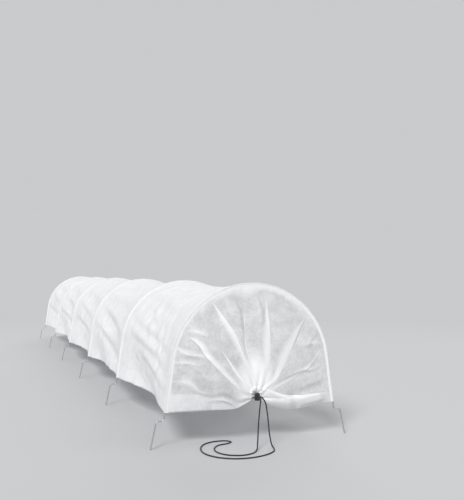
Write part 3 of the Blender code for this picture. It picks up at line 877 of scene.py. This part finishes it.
# Each pleat of a drawn end: whether its edge faces right, how many columns the cloth before it has, its edge
# as shares inward and round, and the width of the cloth folded under it at shares inward
pleats = (
    (False, 44,
     ((0.0, 0.238), (0.11, 0.232), (0.23, 0.228), (0.375, 0.209), (0.5, 0.2), (0.66, 0.187), (0.8, 0.168),
      (0.917, 0.128), (1.0, 0.11)),
     ((0.0, 0.0005), (0.08, 0.001), (0.16, 0.010), (0.35, 0.020), (0.54, 0.024), (0.85, 0.020),
      (1.0, 0.012))),
    (True, 12,
     ((0.0, 0.300), (0.45, 0.294), (0.8, 0.30), (1.0, 0.330)),
     ((0.0, 0.0003), (0.45, 0.0010), (0.70, 0.008), (1.0, 0.010))),
    (True, 18,
     ((0.0, 0.360), (0.09, 0.367), (0.19, 0.375), (0.325, 0.389), (0.49, 0.413), (0.655, 0.429),
      (0.815, 0.444), (0.90, 0.464), (1.0, 0.50)),
     ((0.0, 0.0006), (0.07, 0.004), (0.20, 0.012), (0.35, 0.018), (0.50, 0.026), (0.70, 0.028), (0.85, 0.023),
      (1.0, 0.012))),
    (True, 14,
     ((0.0, 0.468), (0.32, 0.456), (0.53, 0.441), (0.62, 0.441), (0.80, 0.459), (0.9, 0.482), (1.0, 0.53)),
     ((0.0, 0.0003), (0.18, 0.0005), (0.33, 0.0030), (0.62, 0.0055), (1.0, 0.0040))),
    (True, 24,
     ((0.0, 0.53), (0.147, 0.550), (0.273, 0.564), (0.408, 0.583), (0.522, 0.599), (0.657, 0.624),
      (0.765, 0.655), (0.878, 0.682), (1.0, 0.72)),
     ((0.0, 0.0006), (0.12, 0.003), (0.27, 0.010), (0.41, 0.020), (0.55, 0.025), (0.76, 0.026), (0.88, 0.021),
      (1.0, 0.012))),
    (True, 24,
     ((0.0, 0.70), (0.107, 0.71), (0.225, 0.714), (0.37, 0.726), (0.527, 0.745), (0.688, 0.777),
      (0.823, 0.830), (1.0, 0.86)),
     ((0.0, 0.0005), (0.10, 0.003), (0.28, 0.017), (0.49, 0.027), (0.70, 0.027), (0.85, 0.018),
      (1.0, 0.010))),
    (True, 26,
     ((0.0, 0.828), (0.133, 0.844), (0.27, 0.862), (0.45, 0.866), (0.635, 0.867), (0.833, 0.874),
      (1.0, 0.90)),
     ((0.0, 0.0005), (0.12, 0.006), (0.25, 0.012), (0.45, 0.009), (0.85, 0.009), (1.0, 0.006))),
    (False, 24,
     ((0.0, 0.970), (0.21, 0.959), (0.435, 0.949), (0.608, 0.936), (0.73, 0.918), (0.818, 0.892),
      (0.902, 0.840), (1.0, 0.73)),
     ((0.0, 0.0006), (0.10, 0.004), (0.50, 0.010), (0.80, 0.014), (1.0, 0.018))),
)
end_rows = 112
roll_rows = 24
layered_steps = 8
under_steps = 7
first_columns = 24
band_steps = 16
row_power = 0.92
hem_whiteness = 0.42
left_hem = ((0.0, 0.050), (0.335, 0.063), (0.51, 0.054), (0.675, 0.037), (0.80, 0.022), (1.0, 0.015))
over_casing = 0.0090
over_puckers = over_casing + 0.0006
ring_radius = 0.0182
left_ring_degrees = 236
right_ring_degrees = -50
seam_spread = 0.83
gather_spread = 0.105
edge_lift = 0.0024
left_droop_depth = 0.019
right_droop_depth = 0.0195
ripple_height = 0.0011
casing_sweep = math.radians(272)
casing_puckers = 21
casing_rows = 190
casing_columns = 30
roll_start = math.radians(58)
roll_end = math.radians(150)
seam_forward = 0.0030
bulge = 0.010
facet_bulge = 0.0060
band_bulge = 0.006
end_crumple = 0.0014
hem_tuck = 0.0012
hem_columns = 9

# Wrinkles between the pleats: both ends in the end's plane, width, height, and whether the crest is sharp
wrinkles = (
    ((-0.212, 0.244), (-0.112, 0.197), 0.0055, 0.0048, True),
    ((-0.216, 0.216), (-0.130, 0.187), 0.0050, 0.0050, True),
    ((-0.170, 0.271), (-0.118, 0.260), 0.0050, 0.0045, True),
    ((-0.190, 0.205), (-0.080, 0.150), 0.0070, 0.0032, False),
    ((-0.214, 0.170), (-0.090, 0.120), 0.0070, 0.0036, True),
    ((-0.137, 0.131), (-0.121, 0.074), 0.0120, 0.0036, False),
    ((-0.125, 0.118), (-0.030, 0.088), 0.0060, 0.0050, True),
    ((-0.050, 0.352), (-0.036, 0.250), 0.0060, 0.0030, False),
    ((0.010, 0.368), (0.016, 0.280), 0.0055, 0.0028, False),
    ((0.210, 0.226), (0.116, 0.236), 0.0055, 0.0038, True),
    ((0.178, 0.262), (0.132, 0.226), 0.0060, 0.0025, False),
    ((0.205, 0.187), (0.072, 0.160), 0.0055, 0.0032, True),
    ((0.212, 0.150), (0.110, 0.133), 0.0065, 0.0022, False),
    ((0.068, 0.118), (0.100, 0.066), 0.0140, 0.0046, False),
    ((0.200, 0.100), (0.120, 0.084), 0.0060, 0.0020, False),
)


def lowness(around):
    """0 at the crown and 1 at both hems, at shares round."""
    return np.abs(2 * around - 1) ** 6


def ring_degrees(around):
    """The direction from the gather's centre that the cloth comes in from, at shares round."""
    left = left_ring_degrees + (90 - left_ring_degrees) * around / 0.5
    right = 90 + (right_ring_degrees - 90) * (around - 0.5) / 0.5
    return np.where(around < 0.5, left, right)


def ring_growth(around):
    """How much further out the cloth ends towards its two hems, at shares round."""
    return np.where(around < 0.5, 0.0045, 0.0098) * lowness(around)


def end_plane(around, inward):
    """Places on a drawn end in its plane, from shares round and inward."""
    rim, sides, _ = cover_line(np.clip(around, 0, 1).ravel())
    rim = (rim + sides * seam_inset).reshape(*around.shape, 2)
    angle = np.radians(ring_degrees(around))
    radius = ring_radius + ring_growth(around)
    ring = np.stack([radius * np.cos(angle), gather.z + radius * np.sin(angle)], -1)
    share = inward[..., None]
    place = rim * (1 - share) + ring * share
    to_ring = np.clip((1 - inward) / 0.26, 0, 1)
    left = left_droop_depth * inward**2 * to_ring**1.5 * (2.5 - 1.5 * to_ring)
    left += 0.004 * np.sin(np.pi * inward)
    right = right_droop_depth * np.sin(np.pi * inward**1.4)
    place[..., 1] -= lowness(around) * np.where(around < 0.5, left, right)
    return place


def steps_of(count):
    """Even shares from 0 up to, but without, 1."""
    return np.linspace(0.0, 1.0, count + 1)[:-1]


def pleated_columns(inward, spread):
    """Shares round, levels, facet heights and layers of the pleated cloth, for rows at shares inward.

    spread is how far the cloth reaches round in metres at each row. Every column keeps to one place in its
    facet, so that the edges of the layered cloth run smoothly along the pleats.
    """
    none = np.zeros(len(inward))
    columns = []
    start, height = none, none
    doubled, softness, whiteness = np.interp(inward, *zip(*left_hem)), 0.1, none + hem_whiteness
    fade_width = np.interp(inward, (0.25, 0.75), (0.75, 0.50))
    for right, steps, edge, wide in (*pleats, (True, band_steps, None, None)):
        visible, under, lift = none + 1, none, none
        if edge:
            visible = np.interp(inward, *zip(*edge))
            under = np.interp(inward, *zip(*wide)) * np.clip(spread / 0.116, 0.25, 1.0) / spread
            lift = np.minimum(edge_lift, under * spread * 0.14) * (1 if right else -1)
            lift = lift * np.interp(inward, (0.75, 0.97), (1.0, 0.3))
            if edge[0][1] > 0.95:
                lift = -np.interp(inward, (0.0, 0.2, 0.8, 1.0), (0.0003, 0.003, 0.004, 0.0030))
        end = visible if right else visible + under
        length = end - start
        full = np.clip(under * spread / 0.004, 0, 1) * np.interp(inward, (0.0, 0.6, 0.8), (0.75, 0.97, 1.0))
        into = np.minimum(doubled * (1 + softness), 0.48 * length)
        out = np.minimum(under * 1.5, 0.48 * length) if right else none
        places = []
        for step in steps_of(layered_steps):
            fade = ease((1 - step) * (1 + softness) / (2 * softness))
            places.append((start + into * step, whiteness * fade))
        for step in steps_of(steps):
            places.append((start + into + (length - into - out) * step, none))
        if right and edge:
            for step in steps_of(layered_steps):
                places.append((end - out * (1 - step), full * ease(step / fade_width)))
        for place, white_share in places:
            share = (place - start) / np.maximum(length, 1e-6)
            columns.append((place, height + (lift - height) * share, np.sin(np.pi * share), white_share))
        if edge:
            second = visible - under if right else visible
            for step in steps_of(under_steps):
                white_share = full * ((1 - step) if right else step)
                columns.append((end + (second - end) * step, lift * (1 - 2 * step), none, white_share))
            start, height = second, -lift
            doubled = none if right else under
            softness, whiteness = 0.5, full
    columns.append((none + 1, none, none, none))
    around, level, facet, layers = np.array(columns).transpose(1, 2, 0)
    last = layered_steps + band_steps + 1
    layers[:, -last:] = np.maximum(layers[:, -last:], hem_whiteness)
    for part in (around, level):
        part[:, 1:-1] = 0.25 * part[:, :-2] + 0.5 * part[:, 1:-1] + 0.25 * part[:, 2:]
    return around, level, facet, layers


def ripples(angle, inward, seed):
    """Small ripples round the gather, from -1 to 1."""
    return np.sin(angle * 9 + 2.5 * soft_noise(angle, inward, 0.5, 0.4, seed + 5))


def drawn_end_points(seed):
    """Rows of points from the seam in to the gather about the hoop's own plane; forward is -Y."""
    inward = np.linspace(0.0, 1.0, end_rows) ** row_power
    spread = seam_spread * (1 - inward) + gather_spread * inward
    around, level, facet, layers = pleated_columns(inward, spread)
    inward = inward[:, None] + 0 * around
    x, z = np.moveaxis(end_plane(around, inward), -1, 0)
    low = lowness(around)
    open_part = np.sin(np.pi * inward)
    forward = seam_forward + (gather_forward - seam_forward) * inward + bulge * open_part * (1 - low) + level
    forward += over_puckers * math.sin(roll_start) * inward**3 * np.clip(1 - low * 1.4, 0, 1)
    forward += facet_bulge * facet * open_part**0.7 * (1 - low)
    band = np.clip((around - 0.945) / 0.055, 0, 1)
    forward += band_bulge * np.sin(np.pi * band) ** 0.8 * np.clip(inward * 6, 0, 1)
    free = np.clip(np.minimum(inward, 1 - inward) * 7, 0, 1)
    bent_x = x + 0.007 * soft_noise(x, z, 0.045, 0.045, seed + 20)
    bent_z = z + 0.009 * soft_noise(x, z, 0.040, 0.040, seed + 21)
    for start, end, wide, high, sharp in wrinkles:
        forward += drag_fold(bent_x, bent_z, start, end, wide, high, sharp) * free
        # The wrinkles' crests are whitened in the layers: partly painted highlight, partly creased fleece
        # lying doubled there.
        fade, off = beside_fold(bent_x, bent_z, start, end, wide * 0.6)
        layers = np.maximum(layers, (0.50 if sharp else 0.15) * fade**1.5 * np.exp(-(off**2)))
    forward += end_crumple * crumple(x, z, seed) * free
    angle = np.radians(ring_degrees(around))
    forward += ripples(angle, inward, seed) * ripple_height * np.clip((inward - 0.62) / 0.38, 0, 1)
    points = np.stack([x, -forward, z], -1)
    middle = np.exp(-(((around - 0.49) / 0.17) ** 2))
    layers = np.maximum(layers, ease((inward - 0.73 + 0.17 * middle) / 0.26))
    rim_reach = 0.075 + 0.05 * soft_noise(around, inward, 0.06, 4.0, seed + 9)
    at_rim = np.clip(1 - inward / rim_reach, 0, 1) * np.exp(-(((around - 0.55) / 0.22) ** 4))
    layers = np.maximum(layers, seam_layers * at_rim)

    # The last stretch rolls over the casing towards the middle
    turn = np.linspace(0.0, 1.0, roll_rows + 1)[1:, None]
    last_around, last_level, _, _ = pleated_columns(np.ones(roll_rows), np.linspace(0.100, 0.035, roll_rows))
    angle = np.radians(ring_degrees(last_around))
    degrees = np.degrees(angle)
    reach_in = np.clip((252 - degrees) / 50, 0, 1) * np.clip((degrees + 62) / 40, 0, 1)
    closing = np.clip((turn - 0.65) / 0.35, 0, 1) * reach_in**2
    roll = roll_start + (roll_end - roll_start) * np.minimum(turn / 0.65, 1.0) * reach_in
    pucker = 0.0007 * ripples(angle, 1 + 0 * angle, seed) * (1 + 0.5 * turn)
    round_casing = over_puckers + pucker + 0.35 * last_level
    reach = collar_radius + round_casing * np.cos(roll) + ring_growth(last_around) * (1 - 0.12 * turn)
    reach = reach * (1 - closing) + 0.0005 * closing
    proud = round_casing * np.sin(roll) * np.clip(1 - lowness(last_around) * 1.4, 0, 1)
    forward = gather_forward + proud - 0.003 * closing
    rolled = np.stack([reach * np.cos(angle), -forward, gather.z + reach * np.sin(angle)], -1)
    layers = np.concatenate([layers, np.ones_like(last_around)])
    return np.concatenate([points, rolled]), np.concatenate([around, last_around]), layers


def with_end_hems(points, around):
    """The drawn end with its two lower edges turned under."""
    inside = points + grid_normals(points) * hem_tuck
    inside[..., 1] = np.minimum(inside[..., 1], points[..., 1] + hem_tuck)
    row = np.arange(points.shape[0])
    wide = np.interp(np.minimum(row / (end_rows - 1), 1.0) ** row_power, *zip(*left_hem))
    left = []
    for share in np.linspace(1.0, 0.0, hem_columns):
        column = [np.interp(t, a, np.arange(len(a))) for t, a in zip(wide * share, around[:, :first_columns])]
        low = np.floor(column).astype(int)
        high = np.minimum(low + 1, first_columns - 1)
        part = (np.array(column) - low)[:, None]
        left.append(inside[row, low] * (1 - part) + inside[row, high] * part)
    right = inside[:, -(layered_steps + band_steps - 1) :][:, ::-1]
    return np.concatenate([np.stack(left, axis=1) + (0, 0.0006, 0), points, right + (0, 0.0008, 0)], axis=1)


def place_end(points, front):
    """Move an end from the hoop's own plane to the front or, turned round, to the rear."""
    moved = points + (0.0, first_hoop_y, 0.0)
    return moved if front else moved * (-1.0, -1.0, 1.0)


def bunched_casing(seed):
    """The casing drawn up on its string: a C of cloth puckered all round, open below."""
    share = np.linspace(0.0, 1.0, casing_rows)[:, None]
    turn = np.linspace(0.0, 2 * np.pi, casing_columns, endpoint=False)[None, :]
    angle = -math.pi / 2 - (2 * math.pi - casing_sweep) / 2 - casing_sweep * share
    wobble = 0.35 * soft_noise(share * 20 + 0 * turn, turn * 2, 1.0, 1.5, seed)
    phase = np.pi * casing_puckers * (share + 0.014 * np.sin(turn + 1.3) + 0.02 * wobble)
    deep = 0.75 + 0.25 * soft_noise(share * casing_puckers + 0 * turn, turn * 0, 1.0, 1.0, seed + 1)
    radius = collar_tube * (0.70 + 0.34 * np.abs(np.sin(phase)) ** 0.7 * deep)
    close = np.clip(np.minimum(share, 1 - share) / 0.02, 0.0, 1.0)
    radius = radius * np.sqrt(1 - (1 - close) ** 2 * 0.96)
    flat = np.where(np.sin(turn) > 0, 1.0, 0.95)
    reach = collar_radius + radius * np.cos(turn)
    forward = gather_forward - radius * np.sin(turn) * flat
    return np.stack([reach * np.cos(angle), -forward, gather.z + reach * np.sin(angle)], -1)


for front in (True, False):
    name = "front" if front else "rear"
    points, around, layers = drawn_end_points(300 if front else 700)
    hemmed = with_end_hems(points, around)
    added = hemmed.shape[1] - points.shape[1]
    beside = (hem_columns, added - hem_columns)
    all_layers = np.pad(layers, ((0, 0), beside), constant_values=hem_whiteness)
    end = sheet_object(f"{name}_drawn_end", place_end(hemmed, front)[:, ::-1], all_layers[:, ::-1])
    finished(end, f"{name}_drawn_end", f"{name}_frame", end_fleece)
    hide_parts(f"{name}_end_cover")
    casing_points = place_end(bunched_casing(11 if front else 23), front)
    casing = sheet_object(f"{name}_bunched_casing", casing_points, casing_layers, closed=True, capped=True)
    finished(casing, f"{name}_bunched_casing", f"{name}_frame", bunched_fleece)
    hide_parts(f"{name}_collar")


# The drawstring

# Measured from the gather's centre
left_mouth_route = ((-0.0072, -0.0012, -0.0107), (-0.0040, -0.0038, -0.0114), (-0.0014, -0.0064, -0.0100))
right_mouth_route = ((0.0072, -0.0010, -0.0104), (0.0048, -0.0032, -0.0090), (0.0018, -0.0062, -0.0056))

# x is from the middle of the tunnel and y from the front hoop; the stretch on the floor keeps one height
hanging_route = ((0.0030, -0.0600, 0.1150), (0.0080, -0.0670, 0.1020), (0.0115, -0.0710, 0.0720),
                 (0.0140, -0.0740, 0.0360), (0.0170, -0.0800, 0.0100))
floor_route = (
    (0.0170, -0.0960), (0.0050, -0.1180), (-0.0210, -0.1380), (-0.0570, -0.1500), (-0.0960, -0.1470),
    (-0.1300, -0.1240), (-0.1480, -0.0860), (-0.1460, -0.0420), (-0.1280, -0.0020), (-0.0980, 0.0200),
    (-0.0660, 0.0210), (-0.0540, 0.0060), (-0.0680, -0.0080), (-0.0950, -0.0180), (-0.1140, -0.0460),
    (-0.1180, -0.0800), (-0.1030, -0.1100), (-0.0740, -0.1240), (-0.0460, -0.1160),
)
rising_route = ((-0.0270, -0.0960, 0.0030), (-0.0180, -0.0800, 0.0180), (-0.0130, -0.0720, 0.0520),
                (-0.0080, -0.0670, 0.0860), (-0.0030, -0.0610, 0.1070))
floor_cord_z = 0.0017
strand_heights = (lock_z + strand_rise, lock_z - strand_rise)
upper_strand, lower_strand = (Vector((0.0, strand_end_y, height)) for height in strand_heights)


def smooth_route(points):
    """Even points on a smooth curve through a route's own points."""
    points = [Vector(point) for point in points]
    ends = [points[0] * 2 - points[1], *points, points[-1] * 2 - points[-2]]
    fine = []
    for place in range(1, len(ends) - 2):
        before, start, end, after = ends[place - 1 : place + 3]
        slope = end - before
        bow = before * 2 - start * 5 + end * 4 - after
        twist = start * 3 - before - end * 3 + after
        for t in steps_of(40):
            fine.append((start * 2 + slope * t + bow * t**2 + twist * t**3) / 2)
    fine.append(points[-1].copy())
    fine = np.array(fine)
    reach = distances(fine)
    return read_off(np.linspace(0.0, reach[-1], max(2, round(reach[-1] / cord_spacing))), reach, fine)


def braided_cord(name, line):
    """A round cord along a line: its braid stands a little proud, and its map runs along and round it."""
    count, sides = len(line), cord_sides
    ahead = unit(np.gradient(line, axis=0))
    across = np.cross(ahead[0], (0.0, 0.0, 1.0))
    reach = distances(line) / cord_diameter
    turn = 2 * math.pi * np.arange(sides) / sides
    slant = turn * strands_round / 2
    points = []
    for spot, direction, along in zip(line, ahead, math.pi * strands_per_diameter * reach):
        across = unit(across - direction * float(across @ direction))
        up = np.cross(direction, across)
        proud = np.maximum(np.abs(np.sin(along + slant)), np.abs(np.sin(along - slant)))
        radius = (cord_diameter / 2) * (0.96 + 0.04 * proud)
        points.append(spot + np.outer(radius * np.cos(turn), across) + np.outer(radius * np.sin(turn), up))
    faces = [face[::-1] for face in quads(count, sides, round_columns=True)]
    faces += [list(range(sides)), [count * sides - 1 - k for k in range(sides)]]
    cord = mesh_object(name, np.concatenate(points), faces, 75)
    corners = face_corners(cord)
    rounds = corners % sides

    # Where a face closes the round, its first column counts as one past the last
    walls = rounds[: 4 * (count - 1) * sides].reshape(-1, 4)
    walls[(np.ptp(walls, axis=1) > sides / 2)[:, None] & (walls == 0)] += sides
    places = np.stack([reach[corners // sides], rounds / sides], -1).astype(np.float32)
    cord.data.uv_layers.new(name="along_cord").uv.foreach_set("vector", places.ravel())
    return cord


def tail_line():
    """The free stretch from strand to strand, with a straight lead at both ends."""
    lead = Vector((0.0, -cord_diameter, 0.0))
    start = Vector((0.0, first_hoop_y, 0.0))
    lying = [(x, y, floor_cord_z) for x, y in floor_route]
    route = [start + Vector(point) for point in (*hanging_route, *lying, *rising_route)]
    middle = smooth_route([upper_strand + lead, *route, lower_strand + lead])
    return np.concatenate([[np.array(upper_strand)], middle, [np.array(lower_strand)]])


def held_line():
    """The held stretch: through the lock, round in the casing and back through the lock."""
    behind = Vector((0.0, lock_y + lock_radius + lock_play - strand_end_y, 0.0))
    mouth = math.radians(90)
    casing = []
    for share in np.linspace(0.0, 1.0, 19):
        angle = 1.5 * math.pi - mouth / 2 - (2 * math.pi - mouth) * share
        casing.append(gather + Vector((math.cos(angle), 0.0, math.sin(angle))) * collar_radius)
    left = [gather + Vector(point) for point in reversed(left_mouth_route)]
    right = [gather + Vector(point) for point in right_mouth_route]
    middle = smooth_route([lower_strand + behind, *left, *casing, *right, upper_strand + behind])
    return np.concatenate([[np.array(lower_strand)], middle, [np.array(upper_strand)]])


tail_points = tail_line()
tail = braided_cord("cord_tail", tail_points)
finished(tail, "cord_tail", "front_frame", braid)
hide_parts("drawstring_tail")
held = braided_cord("cord_in_casing", held_line())
finished(held, "cord_in_casing", "front_frame", braid)
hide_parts("drawstring")


# The cord lock


def modify(thing, kind, **settings):
    """Add a modifier with its settings to a piece and apply it."""
    modifier = thing.modifiers.new(kind, kind)
    for key, value in settings.items():
        setattr(modifier, key, value)
    bpy.context.view_layer.objects.active = thing
    bpy.ops.object.modifier_apply(modifier=modifier.name)


def soften(thing, width, segments):
    """Round a piece's sharp edges."""
    modify(thing, "BEVEL", width=width, segments=segments, limit_method="ANGLE", angle_limit=math.radians(30))


def cut_away(thing, cutter):
    """Cut one piece with another, and remove the other."""
    modify(thing, "BOOLEAN", operation="DIFFERENCE", solver="EXACT", object=cutter)
    bpy.data.objects.remove(cutter)


def pick_top(thing):
    """Go to edit mode with only a piece's highest face selected."""
    bpy.ops.object.mode_set(mode="EDIT")
    bpy.ops.mesh.select_mode(type="FACE")
    bpy.ops.mesh.select_all(action="DESELECT")
    bpy.ops.object.mode_set(mode="OBJECT")
    max(thing.data.polygons, key=lambda face: face.center.z + face.normal.z).select = True
    bpy.ops.object.mode_set(mode="EDIT")


def cut_slot(thing, low, high):
    """Cut the strands' slot through a lock piece, from front to back, with round corners."""
    cutter = start_from(bpy.ops.mesh.primitive_cube_add, size=1.0,
                        location=(0.0, lock_y, lock_z + (low + high) / 2),
                        scale=(cord_diameter + 2 * lock_play, 4 * lock_radius, high - low))
    soften(cutter, slot_rounding, 4)
    cut_away(thing, cutter)


def turned_piece(radius, low, high, wall=None, floor=None):
    """A lock piece from a cylinder: bored from its top down to a floor, or solid with a dished top."""
    piece = start_from(bpy.ops.mesh.primitive_cylinder_add, vertices=lock_sides, radius=radius,
                       depth=high - low, location=(0.0, lock_y, lock_z + (low + high) / 2))
    pick_top(piece)
    if wall:
        bpy.ops.mesh.inset(thickness=wall)
        bpy.ops.mesh.extrude_region_move(TRANSFORM_OT_translate={"value": (0.0, 0.0, floor - high)})
    else:
        bpy.ops.mesh.inset(thickness=dish_rim)
        bpy.ops.mesh.inset(thickness=dish_slope)
        bpy.ops.transform.translate(value=(0.0, 0.0, -dish_depth))
    bpy.ops.object.mode_set(mode="OBJECT")
    return piece


def coil_spring():
    """The plunger's spring, screwed up from a round section of its wire over the barrel's floor."""
    coil = start_from(bpy.ops.mesh.primitive_circle_add, vertices=12, radius=spring_wire / 2,
                      location=(spring_radius - spring_wire / 2, 0.0, 0.0), rotation=(math.pi / 2, 0.0, 0.0))
    steps = round(32 * spring_turns)
    modify(coil, "SCREW", angle=2 * math.pi * spring_turns, screw_offset=spring_height - spring_wire,
           steps=steps, render_steps=steps)
    coil.data.transform(Matrix.Translation((0.0, lock_y, lock_z + floor_top + lock_play + spring_wire / 2)))
    bpy.ops.object.mode_set(mode="EDIT")
    return close_tube(coil)


barrel = turned_piece(lock_radius, barrel_bottom, barrel_top, lock_wall, floor_top)
for height in groove_heights:
    groove = start_from(bpy.ops.mesh.primitive_torus_add, major_segments=lock_sides, minor_segments=10,
                        major_radius=groove_radius, minor_radius=groove_size,
                        location=(0.0, lock_y, lock_z + height))
    cut_away(barrel, groove)
cut_slot(barrel, -slot_rise, slot_rise)
soften(barrel, barrel_rounding, 3)
shade_smooth(barrel.data, 40)
finished(barrel, "lock_barrel", "lock", black_plastic)
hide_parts("cord_lock_barrel")

plunger = turned_piece(button_radius, plunger_bottom, plunger_top)
cut_slot(plunger, -slot_rise, slot_rise + button_travel)
soften(plunger, button_rounding, 4)
shade_smooth(plunger.data, 40)
finished(plunger, "lock_plunger", "lock_button", black_plastic)
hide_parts("cord_lock_plunger")

spring = finished(coil_spring(), "lock_spring", "lock_button", spring_steel)
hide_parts("cord_lock_spring")
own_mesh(spring)
